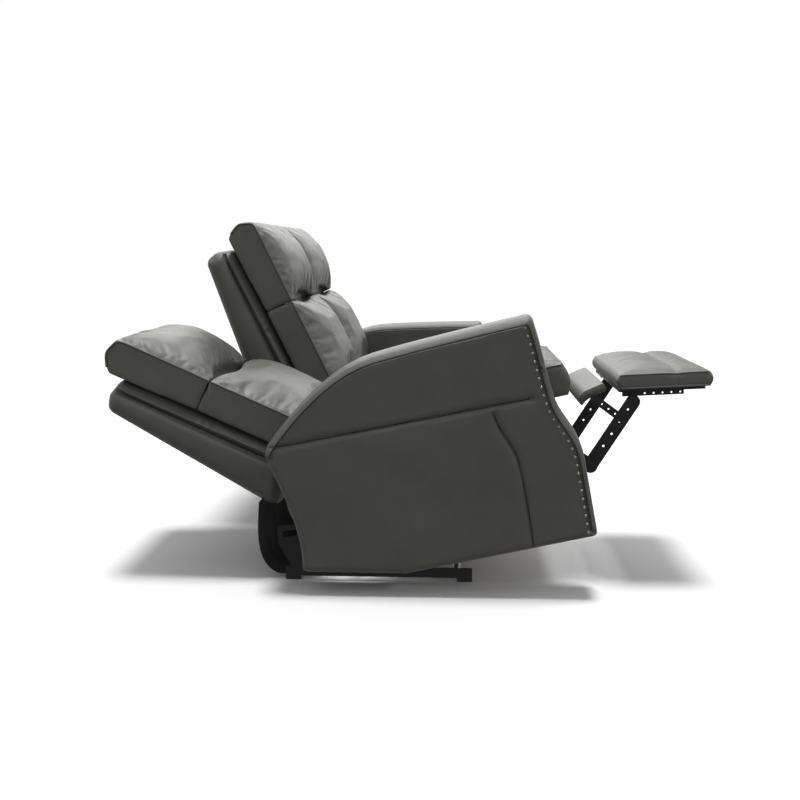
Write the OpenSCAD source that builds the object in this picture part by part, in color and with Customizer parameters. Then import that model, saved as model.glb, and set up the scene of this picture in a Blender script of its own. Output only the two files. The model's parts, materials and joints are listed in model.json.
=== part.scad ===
// Three-seat power reclining sofa. Both end seats recline and carry their arm with them.
// +Z is up, the sitter faces -Y, and the origin lies on the floor under the middle of the footprint.
// Every sub-part of an end seat is drawn once, upright, for the seat on the -X side.
// The -X seat rests reclined with its legrest out, and the +X seat rests upright and closed.

/* [Sofa] */
// Distance from one seat's centre to the next
seat_pitch = 600; // [520:5:720]
// Thickness of an arm
arm_w = 140; // [110:5:180]
// Gap on each side of a cushion
side_gap = 5; // [3:1:12]
// Height of an arm's top, upright
arm_h = 660; // [600:5:720]
// Clearance between an arm and the floor, upright
arm_clear = 16; // [10:1:40]
// Distance from the base's datum to the middle of the footprint
footprint_y = 152; // [100:1:260]

/* [Seat] */
// Height of the seat deck's top
deck_h = 405; // [390:1:440]
// Thickness of the seat cushion at its edge
seat_t = 95; // [70:1:130]
// Rise of the seat cushion's crown above its edge
seat_crown = 32; // [15:1:45]
// Gap between the seat and lumbar cushions, upright
cushion_clear = 4; // [2:1:20]
// Thickness of the deck's board
deck_t = 12; // [9:1:18]

/* [Back] */
// Length of the lumbar cushion along the back
lumbar_l = 372; // [330:1:400]
// Length of the head cushion along the back
head_l = 286; // [240:1:320]
// Lean of the back from upright
back_lean = 26; // [20:1:30]
// Thickness of the back cushions at their edge
back_t = 92; // [70:1:100]
// How far the back cushions' crown stands forward of their edge
back_crown = 55; // [20:1:60]
// Thickness of the outer back shell
shell_t = 118; // [80:1:125]

/* [Legrest] */
// Length of the footrest board
footrest_l = 270; // [220:5:280]
// Thickness of the footrest pad at its edge
footrest_t = 44; // [30:1:50]
// Distance between the pins of a legrest link
link_l = 228; // [210:1:236]
// Width of a legrest link
link_w = 42; // [30:1:46]
// Thickness of the links and the steel plates
plate_t = 5; // [3:0.5:6]
// Radius of the pivot pins
pin_r = 6; // [4:0.5:8]

/* [Travel] */
// How far the seat glides forward
glide_travel = 217; // [150:1:220]
// Rise of the glide rails towards the front, in degrees
glide_rise = 9.1; // [6:0.1:12]
// How far the seat tilts back, in degrees
tilt_travel = 12.5; // [8:0.5:13]
// How far the back reclines from the seat, in degrees
recline_travel = 27.5; // [18:0.5:28]
// Half-angle between the legrest links when closed, in degrees
swing_closed = 5; // [4:0.5:10]
// Half-angle between the legrest links when out, in degrees
swing_open = 44.6; // [35:0.1:46]
// How far the footrest board turns, in degrees
board_turn = 80.5; // [70:0.5:85]
// Forward tilt of the headrest, in degrees
head_travel = 12; // [5:1:12]

/* [Trim] */
// Number of nailheads on an arm
nail_count = 26; // [12:1:30]
// Radius of a nailhead
nail_r = 5.5; // [4:0.5:7]
// Distance of the nailheads from the arm's front edge
nail_inset = 24; // [20:1:30]
// Radius of a push button
button_r = 7; // [5:0.5:9]
// Travel of a push button
button_travel = 1.5; // [1:0.1:2]

/* [Hidden] */
$fn = 32;
near = -1;                     // the end seat on the -X side
far = 1;                       // the end seat on the +X side
slack = 0.05;                  // running clearance of a pin in its hole, on the radius
layer = 3;                     // gap between neighbouring plates of the mechanism
reach = 1;                     // how far a cutter passes through what it cuts
seat_w = seat_pitch - 2 * side_gap;
arm_face = seat_pitch / 2;     // distance from a seat's centre to its arm's inner face

// pivots, as [y, z] from the base's datum with the seat upright
tilt_pin = [450, 150];
back_pin = [398, 196];
link_pin = [-55, 340];
board_drop = 42;               // height of the footrest board over its pin

// plates of the mechanism, as the distance of their outer face from the seat's centre
guide_x = seat_w / 2 - 13;
carriage_x = guide_x - plate_t - layer;
side_x = carriage_x - plate_t - layer;
link_x = side_x - plate_t - layer;
long_x = link_x - plate_t - layer;
board_x = long_x - plate_t - layer;

// the back, measured along its lean from the foot of the lumbar cushion
back_foot = [405, deck_h + seat_t - 18];
head_gap = 4;                  // gap between the lumbar and head cushions at the rear
head_foot = lumbar_l + head_gap;
shell_gap = 8;                 // gap between the back cushions and the shell
crown_inset = 50;              // how far a back cushion's crown is set in from its sides
hinge_up = 10;                 // height of the headrest's hinge above the head cushion's foot
hinge_in = 12;                 // distance of the headrest's hinge from the head cushion's rear face
hinge_r = 5;
head_clear = 7.4;              // clearance below the head cushion's front foot when it is tilted
head_rise = (back_t - hinge_in) * sin(head_travel) + head_clear;
head_hinge = back_foot + along(head_foot + hinge_up) - ahead(back_t - hinge_in);
lumbar_nose = back_foot + along(crown_inset / 2) + ahead(back_crown);

shell_foot = back_foot + along(60) - ahead(back_t + shell_gap);
shell_l = 570;                 // length of the back shell along the lean

// ---- directions and curves in the side view, as [y, z] ----

function along(d) = d * [sin(back_lean), cos(back_lean)];    // up the lean of the back
function ahead(d) = d * [-cos(back_lean), sin(back_lean)];   // out of the back, towards the sitter
function curve(a, b, c, d, steps) = [
    for (i = [0 : steps - 1]) let (t = i / steps, u = 1 - t)
        u * u * u * a + 3 * u * u * t * b + 3 * u * t * t * c + t * t * t * d
];
function unit(v) = v / norm(v);

// ---- placing ----

// an extrusion of a side-view outline, from x to x + w
module side_plate(x, w) {
    translate([x, 0, 0]) rotate([90, 0, 90]) linear_extrude(w) children();
}

// the same on both sides of the -X end seat, with its outer face at distance x from the seat's centre
module both_sides(x, w = plate_t) {
    for (place = [-seat_pitch - x, -seat_pitch + x - w]) side_plate(place, w) children();
}

// a round bar across the seat at [y, z], from x to x + w
module cross_bar(p, r, x, w) {
    translate([x, p[0], p[1]]) rotate([0, 90, 0]) cylinder(r = r, h = w);
}

// a pin on both sides, from the inner face of one layer to the outer face of another
module both_pins(p, r, x_in, x_out) {
    for (x = [-seat_pitch - x_out, -seat_pitch + x_in]) cross_bar(p, r, x, x_out - x_in);
}

module turned(p, angle) {
    translate([0, p[0], p[1]]) rotate([angle, 0, 0]) translate([0, -p[0], -p[1]]) children();
}

// a strip with round ends between two points of the side view
module strip(a, b, w) {
    hull() for (p = [a, b]) translate(p) circle(d = w);
}

// ---- rest poses ----

function reclined(side) = side == near ? 1 : 0;
function swing(side) = side == near ? swing_open : swing_closed;
function knee(side) = link_pin + link_l * [-sin(swing(side)), -cos(swing(side))];
function toe_pin(side) = link_pin + 2 * link_l * [-sin(swing(side)), 0];

module on_base(side) {
    translate([0, -footprint_y, 0]) mirror([side == far ? 1 : 0, 0, 0]) children();
}
module on_carriage(side) {
    d = reclined(side) * glide_travel;
    on_base(side) translate([0, -d * cos(glide_rise), d * sin(glide_rise)]) children();
}
module on_seat(side) {
    on_carriage(side) turned(tilt_pin, -reclined(side) * tilt_travel) children();
}
module on_back(side) {
    on_seat(side) turned(back_pin, -reclined(side) * recline_travel) children();
}
module on_middle() {
    translate([seat_pitch, -footprint_y, 0]) children();
}

// ---- base and glide ----

rail_h = 30;                   // height of a base rail
rail_z = 12;                   // height of a base rail above the floor, between its feet
foot_l = 46;                   // length of a foot
base_y = [-58, 507];           // front and rear ends of the base
roller_r = 9;                  // radius of the glide rollers
roller_span = 60;              // distance between a carriage's two rollers

// the inclined slot that the carriage's rollers run in
glide_path = [tilt_pin[0] - glide_travel * cos(glide_rise), tilt_pin[1] + glide_travel * sin(glide_rise)];
function back_along_rail(p, d) = p + d * [cos(glide_rise), -sin(glide_rise)];
module slot_2d() {
    strip(back_along_rail(tilt_pin, roller_span), glide_path, 2 * (roller_r + 0.5));
}
module base_rail_2d() {
    a = back_along_rail(tilt_pin, roller_span);
    translate([base_y[0], rail_z]) square([base_y[1] - base_y[0], rail_h]);
    for (y = [base_y[0], base_y[1] - foot_l]) translate([y, 0]) square([foot_l, rail_z + reach]);
    polygon([
        [glide_path[0] - 34, rail_z + rail_h - reach], [a[0] - 20, rail_z + rail_h - reach],
        [a[0] + 22, a[1] - 24], [a[0] + 22, a[1] + 24], [glide_path[0] - 24, glide_path[1] + 26],
        [glide_path[0] - 34, glide_path[1]]
    ]);
}
module base_rails() {
    color("#141416") both_sides(guide_x) difference() {
        base_rail_2d();
        slot_2d();
    }
}
module base_tubes() {
    color("#1b1b1d") for (y = [base_y[0] + foot_l, base_y[1] - foot_l])
        cross_bar([y, rail_z + rail_h / 2], 11, -seat_pitch - guide_x + plate_t, 2 * (guide_x - plate_t));
}
module glide_carriage() {
    color("#202022") {
        both_sides(carriage_x) difference() {
            strip(tilt_pin, back_along_rail(tilt_pin, roller_span), 44);
            translate(tilt_pin) circle(r = pin_r + slack);
        }
        for (d = [2 * roller_r + 4, roller_span])
            both_pins(back_along_rail(tilt_pin, d), roller_r, carriage_x - reach, guide_x);
        cross_bar(back_along_rail(tilt_pin, roller_span), 8,
            -seat_pitch - carriage_x + plate_t - reach, 2 * (carriage_x - plate_t + reach));
    }
}

// ---- seat ----

tube_r = 12.5;                 // radius of the seat frame's cross tubes
front_tube = [96, 372];
rear_tube = [330, 372];
deck_front = -150;             // front edge of the seat deck
deck_d = 520;
seat_front = deck_front - 42;  // front of the seat cushion
seat_d = lumbar_nose[0] - cushion_clear - seat_front;
spring_count = 5;
slot_w = 36;                   // width of a slot in the deck
slot_l = 380;

module seat_side_2d() {
    difference() {
        union() {
            strip(link_pin, [rear_tube[0], 366], 44);
            strip([rear_tube[0], 366], back_pin, 44);
            strip(back_pin, tilt_pin, 44);
        }
        for (p = [front_tube, rear_tube]) translate(p) circle(r = tube_r);
    }
}
module seat_frame() {
    color("#18181a") {
        both_sides(side_x) seat_side_2d();
        for (p = [front_tube, rear_tube]) cross_bar(p, tube_r, -seat_pitch - side_x, 2 * side_x);
        both_pins(tilt_pin, pin_r, side_x - reach, carriage_x);
        both_pins(link_pin, pin_r, link_x - plate_t, side_x - reach);
        both_pins(back_pin, pin_r, link_x - plate_t, side_x - reach);
    }
}
module deck_board() {
    difference() {
        translate([-seat_pitch - seat_w / 2 + 20, deck_front, deck_h - deck_t])
            cube([seat_w - 40, deck_d, deck_t]);
        for (i = [0 : spring_count - 1]) translate([spring_x(i) - slot_w / 2, deck_front + 70, 0])
            cube([slot_w, slot_l, deck_h + reach]);
    }
}
function spring_x(i) = -seat_pitch + (i - (spring_count - 1) / 2) * (seat_w - 120) / spring_count;
module seat_deck() {
    color("#b08a5c") deck_board();
}
module seat_springs() {
    wire = 3.5;
    lay_z = deck_h - deck_t / 2;
    color("#8d9094") for (i = [0 : spring_count - 1], j = [0 : 8])
        translate([spring_x(i) - slot_w / 2, deck_front + 70 + (j + 0.5) * slot_l / 9, lay_z])
            rotate([0, 90, 0]) cylinder(d = wire, h = slot_w, $fn = 16);
}

// a crowned pad: a full-size slab with a smaller one hulled above it; x, y and z run from the near corner
module crowned(size, crown, inset) {
    hull() {
        cube(size);
        translate([inset, inset, 0]) cube([size[0] - 2 * inset, size[1] - 2 * inset, size[2] + crown]);
    }
}
module seat_cushion() {
    color("#4a4a45") translate([-seat_pitch - seat_w / 2, seat_front, deck_h])
        crowned([seat_w, seat_d, seat_t], seat_crown, 60);
}

// ---- arm ----

arm_front = -120;              // front corner of the arm's top
arm_rear = 697;                // rearmost point of the arm
arm_bend = 374;                // where the arm's bottom starts to rise
heel_y = arm_rear - 29;
heel = [heel_y, arm_clear + (heel_y - arm_bend) * tan(tilt_travel)];
top_front = [arm_front, arm_h];
waist = [arm_front - 20, arm_h - 250];
toe = [arm_front - 68, arm_h - 430];
shoulder = [arm_front + 455, arm_h - 16];
tail = [arm_rear - 13, arm_h - 205];

function front_edge(steps) = concat(
    curve(top_front, top_front + [-15, -80], waist + [12, 80], waist, steps),
    curve(waist, waist - [10, 60], toe + [0, 90], toe, steps)
);
function arm_outline() = concat(
    front_edge(8),
    [toe, [arm_front - 62, arm_clear], [arm_bend, arm_clear]],
    curve(heel, heel + [-30, 110], [arm_rear - 24, arm_h - 330], [arm_rear, arm_h - 235], 8),
    curve([arm_rear, arm_h - 235], [arm_rear + 2, arm_h - 222], tail + [6, -10], tail, 3),
    curve(tail, tail + [-84, 75], shoulder + [135, -11], shoulder, 10),
    curve(shoulder, shoulder + [-115, 9], top_front + [160, -3], top_front, 6)
);

panel_t = 24;                  // thickness of an upholstered arm panel
arm_x = -seat_pitch - arm_face - arm_w;
bay = 186;                     // opening of a bay in the arm's frame
web = 26;                      // width of a web in the arm's frame

module arm_frame() {
    color("#a98254") side_plate(arm_x + panel_t, arm_w - 2 * panel_t) difference() {
        polygon(arm_outline());
        for (i = [0 : 2], j = [0 : 1])
            translate([arm_front + 8 + i * (bay + web), arm_clear + 74 + j * (bay + web) + i * 6]) square(bay);
    }
}
module arm_outer_panel() {
    color("#484844") side_plate(arm_x, panel_t) polygon(arm_outline());
}
switch_at = [60, arm_h - 75];  // centre of the switch plate on the arm's inner face
switch_l = 96;
switch_w = 40;
plate_lip = 5;                 // how far the switch plate covers the arm around its pocket
plate_out = 3;                 // how far the switch plate stands out of the arm
switch_deep = 16;
arm_in = arm_x + arm_w;        // the arm's inner face
module arm_inner_panel() {
    color("#484844") difference() {
        side_plate(arm_in - panel_t, panel_t) polygon(arm_outline());
        translate([arm_in - switch_deep, switch_at[0] - switch_l / 2 + plate_lip,
            switch_at[1] - switch_w / 2 + plate_lip])
            cube([switch_deep + reach, switch_l - 2 * plate_lip, switch_w - 2 * plate_lip]);
    }
}

// nailheads stand on the arm's outer face, evenly spaced along its front edge
nail_end = [arm_front - 62, arm_clear + 14];
nail_path = concat(front_edge(12), [toe, nail_end, nail_end - [0, 1]]);
nail_line = [
    for (i = [1 : len(nail_path) - 2]) let (d = unit(nail_path[i + 1] - nail_path[i - 1]))
        nail_path[i] + nail_inset * [-d[1], d[0]]
];
function length_to(path, k) = k == 0 ? 0 : length_to(path, k - 1) + norm(path[k] - path[k - 1]);
function point_at(path, s, k = 1) = let (d = norm(path[k] - path[k - 1]))
    s <= d || k == len(path) - 1 ? path[k - 1] + s / d * (path[k] - path[k - 1])
        : point_at(path, s - d, k + 1);
module arm_nails() {
    run = length_to(nail_line, len(nail_line) - 1);
    color("#8a7f68") for (i = [0 : nail_count - 1]) {
        p = point_at(nail_line, i * run / (nail_count - 1));
        translate([arm_x, p[0], p[1]]) rotate([0, -90, 0])
            rotate_extrude($fn = 16) intersection() {
                translate([0, -nail_r * 0.55]) circle(r = nail_r * 1.14, $fn = 24);
                square(nail_r * 2);
            }
    }
}

// ---- switch ----

button_span = 44;
module switch_plate() {
    color("#2a2a2c") difference() {
        union() {
            translate([arm_in, switch_at[0] - switch_l / 2, switch_at[1] - switch_w / 2])
                cube([plate_out, switch_l, switch_w]);
            translate([arm_in - switch_deep, switch_at[0] - switch_l / 2 + plate_lip,
                switch_at[1] - switch_w / 2 + plate_lip])
                cube([switch_deep, switch_l - 2 * plate_lip, switch_w - 2 * plate_lip]);
        }
        for (d = [-1, 1]) cross_bar([switch_at[0] + d * button_span / 2, switch_at[1]], button_r + 0.3,
            arm_in - switch_deep + 4, switch_deep + plate_out);
    }
}
module push_button(d) {
    color("#9a9c9f") cross_bar([switch_at[0] + d * button_span / 2, switch_at[1]], button_r,
        arm_in - switch_deep + 4.3 + button_travel, switch_deep + plate_out - 4.3);
}
module open_button() {
    push_button(-1);
}
module close_button() {
    push_button(1);
}

// ---- legrest ----

drive_z = 338;                 // height of the drive's rail
drive_y = [110, 318];          // front and rear ends of the drive's rail
drive_w = 26;
block_l = 40;
block_travel = 120;            // travel of the drive's block as the legrest opens

module legrest_drive() {
    color("#26272a") {
        translate([-seat_pitch - drive_w / 2, drive_y[0] - 30, drive_z - 9]) difference() {
            cube([drive_w, drive_y[1] - drive_y[0] + 60, 18]);
            translate([4, 28, 9]) cube([drive_w - 8, drive_y[1] - drive_y[0] + 4, 10]);
            translate([9, 28, -reach]) cube([drive_w - 18, drive_y[1] - drive_y[0] + 4, 20]);
        }
        translate([-seat_pitch - 24, drive_y[1] + 30, drive_z - 34]) cube([48, 62, 56]);
        for (p = [front_tube, rear_tube]) translate([-seat_pitch - drive_w / 2, p[0] - 6, drive_z + 9 - reach])
            cube([drive_w, 12, front_tube[1] - tube_r - drive_z - 9 + reach]);
    }
}
module drive_block(side) {
    at = drive_y[0] + 4 + (1 - reclined(side)) * block_travel;
    color("#d8d8d4") {
        translate([-seat_pitch - 8.5, at, drive_z + 0.5]) cube([17, block_l, 8]);
        translate([-seat_pitch - 3.5, at, drive_z - 26]) cube([7, block_l, 27]);
    }
}

// the links hang from the seat frame's pins and fold out with their swing
module link_2d(a, b) {
    difference() {
        strip(a, b, link_w);
        translate(a) circle(r = pin_r + slack);
        for (i = [1 : 4]) translate(a + (0.12 + 0.19 * i) * (b - a)) circle(r = 3.5);
    }
}
module rear_links(side) {
    color("#151517") {
        both_sides(link_x) link_2d(link_pin, knee(side));
        both_pins(knee(side), pin_r, long_x - plate_t, link_x - reach);
    }
}
module long_links(side) {
    to = toe_pin(side);
    hold = on_link(side, -60, 0);
    color("#151517") {
        both_sides(long_x) {
            link_2d(knee(side), to);
            difference() {
                strip(hold, flap_rod(side), 24);
                for (i = [1 : 3]) translate(hold + i / 4 * (flap_rod(side) - hold)) circle(r = 3);
            }
        }
        both_pins(to, pin_r, board_x - plate_t, long_x - reach);
        cross_bar(flap_rod(side), rod_r, -seat_pitch - long_x + plate_t - reach, 2 * (long_x - plate_t + reach));
    }
}

// a point of a long link, from its toe pin: along the link, then out of it towards the seat
function link_dir(side) = unit(toe_pin(side) - knee(side));
function on_link(side, up, out) = let (u = link_dir(side)) toe_pin(side) + up * u + out * [u[1], -u[0]];

// the flap covers the gap between the seat and the footrest, on a rod between the long links
flap_l = 92;
flap_t = 26;
flap_turn = 146.6;             // angle of the flap from its link
rod_r = 5;
function flap_rod(side) = on_link(side, -53, 98);
module flap(side) {
    half = board_x - plate_t - 2 * layer;
    u = link_dir(side);
    color("#4a4a45") difference() {
        side_plate(-seat_pitch - half, 2 * half) translate(on_link(side, -45, 114))
            rotate(atan2(u[1], u[0]) - flap_turn) square([flap_l, flap_t], center = true);
        cross_bar(flap_rod(side), rod_r, -seat_pitch - long_x, 2 * long_x);
    }
}

// the footrest is drawn hanging from its pin, then turned out
module turn_board(side) {
    p = toe_pin(side);
    translate([0, p[0], p[1]]) rotate([-board_turn * reclined(side), 0, 0]) children();
}
board_back = 52;               // how far the footrest board reaches behind its pin
module footrest_board(side) {
    color("#17171a") turn_board(side) {
        translate([-seat_pitch - seat_w / 2 + 30, -board_drop, board_back - footrest_l + 10])
            cube([seat_w - 60, 10, footrest_l - 20]);
        both_sides(board_x) difference() {
            union() {
                strip([0, 0], [-board_drop + 14, 0], 26);
                translate([-board_drop + 10, -150]) square([16, 180]);
            }
            circle(r = pin_r + slack);
            for (i = [0 : 4]) translate([-board_drop + 19, -140 + 26 * i]) circle(r = 3);
        }
    }
}
module footrest_pad(side) {
    color("#4a4a45") turn_board(side)
        translate([-seat_pitch - seat_w / 2 + 2, -board_drop, board_back - footrest_l])
            rotate([90, 0, 0]) crowned([seat_w - 4, footrest_l, footrest_t], 20, 30);
}

// ---- back ----

bracket_w = 34;
bracket_low = shell_foot + along(40) - ahead(30);
bracket_top = shell_foot + along(hinge_up + head_foot - 60) - ahead(34);
module bracket_2d() {
    strip(back_pin, bracket_low, bracket_w);
    strip(bracket_low, bracket_top, bracket_w);
    strip(bracket_top, head_hinge, 22);
}
module back_brackets() {
    color("#19191b") {
        both_sides(link_x) difference() {
            bracket_2d();
            translate(back_pin) circle(r = pin_r + slack);
        }
        cross_bar(head_hinge, hinge_r, -seat_pitch - link_x - 16, 2 * (link_x + 16));
    }
}
// places children in the back's own frame: +Z up its lean, -Y towards the sitter
module on_lean() {
    translate([-seat_pitch - seat_w / 2, back_foot[0], back_foot[1]]) rotate([-back_lean, 0, 0]) children();
}
// a cushion of the back between two heights; its front foot may rise clear of what is below
module back_pad(low, high, rise) {
    w = seat_w;
    crown_low = low + max(crown_inset / 2, 1.75 * rise);
    on_lean() hull() {
        translate([0, back_t - 2 * hinge_in, low]) cube([w, 2 * hinge_in, high - low]);
        translate([0, 0, low + rise]) cube([w, back_t, high - low - rise]);
        translate([crown_inset, -back_crown, crown_low])
            cube([w - 2 * crown_inset, back_t, high - crown_inset / 2 - crown_low]);
    }
}
module lumbar_cushion() {
    color("#4a4a45") back_pad(0, lumbar_l, 0);
}
module head_cushion() {
    bracket_gap = plate_t + 4;
    color("#4a4a45") difference() {
        back_pad(head_foot, head_foot + head_l, head_rise);
        on_lean() for (x = [seat_w / 2 - link_x - 2, seat_w / 2 + link_x - bracket_gap + 2])
            translate([x, back_t - 2 * hinge_in - 6, head_foot - reach])
                cube([bracket_gap, 2 * hinge_in + 6 + reach, hinge_up + 20]);
        cross_bar(head_hinge, hinge_r + slack, -seat_pitch - link_x - 17, 2 * (link_x + 17));
    }
}
shell_foot_out = 60;           // how far the shell's foot stands out behind its top
module back_shell() {
    f = shell_foot;
    color("#454541") difference() {
        side_plate(-seat_pitch - seat_w / 2, seat_w) polygon([
            f, f + along(shell_l - 14) + ahead(-6), f + along(shell_l) + ahead(-shell_t * 0.2),
            f + along(shell_l + 14) + ahead(-shell_t * 0.6), f + along(shell_l + 4) + ahead(-shell_t * 0.92),
            f + along(shell_l - 14) + ahead(-shell_t - 2),
            f + along(10) + ahead(-shell_t - shell_foot_out), f + along(-24) + ahead(-shell_t - shell_foot_out + 12)
        ]);
        both_sides(link_x + 0.5, plate_t + 1) bracket_2d();
    }
}

// ---- rear cloth ----

cloth_t = 3;
cloth_top = [700, 452];
cloth_hem = [735, 44];
cloth_in = 25;                 // distance of a rear cloth's edge from its seat's side, inside the base rails
module cloth_2d(path) {
    back = [for (i = [len(path) - 1 : -1 : 0]) path[i] + [cloth_t, 0]];
    polygon(concat(path, back));
}
module rear_cloth(side) {
    slump = reclined(side);
    // reclined, the shell's foot comes down behind the seat and the cloth hangs in a loop below it
    path = slump == 1
        ? concat(curve([783, 276], [806, 180], [826, 110], [806, 84], 8),
            curve([806, 84], [796, 66], [780, 50], [752, 44], 6), [[752, 44]])
        : [cloth_top, cloth_hem];
    color("#0c0c0d") side_plate(-seat_pitch - seat_w / 2 + cloth_in, seat_w - 2 * cloth_in) cloth_2d(path);
}

// ---- middle seat, fixed ----

middle_front = -118;
middle_rear = 560;
module middle_base() {
    color("#a98254") {
        for (x = [-seat_pitch - guide_x, -seat_pitch + guide_x - 22])
            translate([x, middle_front, rail_z]) cube([22, middle_rear - middle_front, deck_h - deck_t - rail_z]);
        for (y = [middle_front, middle_rear - 22])
            translate([-seat_pitch - guide_x + 21, y, 60])
                cube([2 * guide_x - 42, 22, deck_h - deck_t - 60]);
        for (x = [-seat_pitch - guide_x, -seat_pitch + guide_x - foot_l], y = [middle_front, middle_rear - foot_l])
            translate([x, y, 0]) cube([foot_l, foot_l, rail_z + reach]);
    }
}
module middle_front_pad() {
    color("#4a4a45") translate([-seat_pitch - seat_w / 2 + 2, middle_front, board_back - footrest_l + link_pin[1]])
        rotate([90, 0, 0]) crowned([seat_w - 4, footrest_l, footrest_t + 2], 20, 30);
}
module middle_back_shell() {
    back_shell();
}
module middle_rear_cloth() {
    color("#0c0c0d") side_plate(-seat_pitch - seat_w / 2 + cloth_in, seat_w - 2 * cloth_in)
        cloth_2d([cloth_top, cloth_hem]);
}

on_base(near) base_rails();  // near_base_rails
on_base(near) base_tubes();  // near_base_tubes
on_carriage(near) glide_carriage();  // near_glide_carriage
on_seat(near) seat_frame();  // near_seat_frame
on_seat(near) seat_deck();  // near_seat_deck
on_seat(near) seat_springs();  // near_seat_springs
on_seat(near) seat_cushion();  // near_seat_cushion
on_seat(near) arm_frame();  // near_arm_frame
on_seat(near) arm_outer_panel();  // near_arm_outer_panel
on_seat(near) arm_inner_panel();  // near_arm_inner_panel
on_seat(near) arm_nails();  // near_arm_nails
on_seat(near) switch_plate();  // near_switch_plate
on_seat(near) open_button();  // near_open_button
on_seat(near) close_button();  // near_close_button
on_seat(near) legrest_drive();  // near_legrest_drive
on_seat(near) drive_block(near);  // near_drive_block
on_seat(near) rear_links(near);  // near_rear_links
on_seat(near) long_links(near);  // near_long_links
on_seat(near) flap(near);  // near_flap
on_seat(near) footrest_board(near);  // near_footrest_board
on_seat(near) footrest_pad(near);  // near_footrest_pad
on_back(near) back_brackets();  // near_back_brackets
on_back(near) back_shell();  // near_back_shell
on_back(near) lumbar_cushion();  // near_lumbar_cushion
on_back(near) head_cushion();  // near_head_cushion
on_seat(near) rear_cloth(near);  // near_rear_cloth
on_base(far) base_rails();  // far_base_rails
on_base(far) base_tubes();  // far_base_tubes
on_carriage(far) glide_carriage();  // far_glide_carriage
on_seat(far) seat_frame();  // far_seat_frame
on_seat(far) seat_deck();  // far_seat_deck
on_seat(far) seat_springs();  // far_seat_springs
on_seat(far) seat_cushion();  // far_seat_cushion
on_seat(far) arm_frame();  // far_arm_frame
on_seat(far) arm_outer_panel();  // far_arm_outer_panel
on_seat(far) arm_inner_panel();  // far_arm_inner_panel
on_seat(far) arm_nails();  // far_arm_nails
on_seat(far) switch_plate();  // far_switch_plate
on_seat(far) open_button();  // far_open_button
on_seat(far) close_button();  // far_close_button
on_seat(far) legrest_drive();  // far_legrest_drive
on_seat(far) drive_block(far);  // far_drive_block
on_seat(far) rear_links(far);  // far_rear_links
on_seat(far) long_links(far);  // far_long_links
on_seat(far) flap(far);  // far_flap
on_seat(far) footrest_board(far);  // far_footrest_board
on_seat(far) footrest_pad(far);  // far_footrest_pad
on_back(far) back_brackets();  // far_back_brackets
on_back(far) back_shell();  // far_back_shell
on_back(far) lumbar_cushion();  // far_lumbar_cushion
on_back(far) head_cushion();  // far_head_cushion
on_seat(far) rear_cloth(far);  // far_rear_cloth
on_middle() middle_base();
on_middle() seat_deck();  // middle_seat_deck
on_middle() seat_cushion();  // middle_seat_cushion
on_middle() middle_front_pad();
on_middle() middle_back_shell();
on_middle() lumbar_cushion();  // middle_lumbar_cushion
on_middle() head_cushion();  // middle_head_cushion
on_middle() middle_rear_cloth();
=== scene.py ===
import json
import math
import bpy
import bmesh
from mathutils import Matrix, Vector, noise
from mathutils.bvhtree import BVHTree
from mathutils.geometry import delaunay_2d_cdt
from mathutils.kdtree import KDTree


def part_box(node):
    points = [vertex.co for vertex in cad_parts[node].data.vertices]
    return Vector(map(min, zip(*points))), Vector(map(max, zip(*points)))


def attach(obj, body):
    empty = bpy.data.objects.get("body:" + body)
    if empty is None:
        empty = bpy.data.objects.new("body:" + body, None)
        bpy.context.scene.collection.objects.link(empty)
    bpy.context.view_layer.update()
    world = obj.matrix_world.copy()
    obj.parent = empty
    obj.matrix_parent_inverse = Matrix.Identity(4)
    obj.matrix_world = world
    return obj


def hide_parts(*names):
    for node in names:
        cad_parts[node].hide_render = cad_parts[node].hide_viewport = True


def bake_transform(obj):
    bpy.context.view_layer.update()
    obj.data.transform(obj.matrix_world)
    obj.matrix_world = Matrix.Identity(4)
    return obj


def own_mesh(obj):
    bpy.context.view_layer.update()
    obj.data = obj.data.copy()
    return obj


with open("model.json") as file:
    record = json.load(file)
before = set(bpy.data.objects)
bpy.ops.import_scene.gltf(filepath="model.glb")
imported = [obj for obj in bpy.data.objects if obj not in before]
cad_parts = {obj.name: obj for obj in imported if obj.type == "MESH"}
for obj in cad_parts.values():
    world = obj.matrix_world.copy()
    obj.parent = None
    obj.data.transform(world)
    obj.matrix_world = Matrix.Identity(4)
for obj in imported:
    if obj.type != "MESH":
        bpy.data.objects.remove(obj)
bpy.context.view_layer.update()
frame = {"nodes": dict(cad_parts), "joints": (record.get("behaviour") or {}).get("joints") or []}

scene = bpy.context.scene
scene.view_settings.view_transform = "Standard"
bpy.ops.object.select_all(action="DESELECT")
print("frame loaded:", len(frame["nodes"]), "nodes")

# ---- camera: level with the near arm's top, looking along the row ----

joints = {j["name"]: j for j in frame["joints"]}
tiltPin = Vector(joints["far_tilt"]["pos_m"])     # the far seat rests upright, so its pin marks the datum
camSettings = dict(place=(-3.99, tiltPin.y - 0.45, 0.987), pitch=7.93, yaw=2.94, lens=47.8)

def addCamera(s):
    bpy.ops.object.camera_add(location=s["place"])
    cam = bpy.context.object
    pitch, yaw = math.radians(s["pitch"]), math.radians(s["yaw"])
    look = Vector((math.cos(pitch) * math.cos(yaw), math.cos(pitch) * math.sin(yaw), -math.sin(pitch)))
    cam.rotation_mode = "QUATERNION"
    cam.rotation_quaternion = look.to_track_quat("-Z", "Y")
    cam.data.lens = s["lens"]
    cam.data.sensor_width = 36
    cam.data.clip_end = 60
    scene.camera = cam

addCamera(camSettings)

# ---- how each seat rests, from the frame's own joints ----

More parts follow.
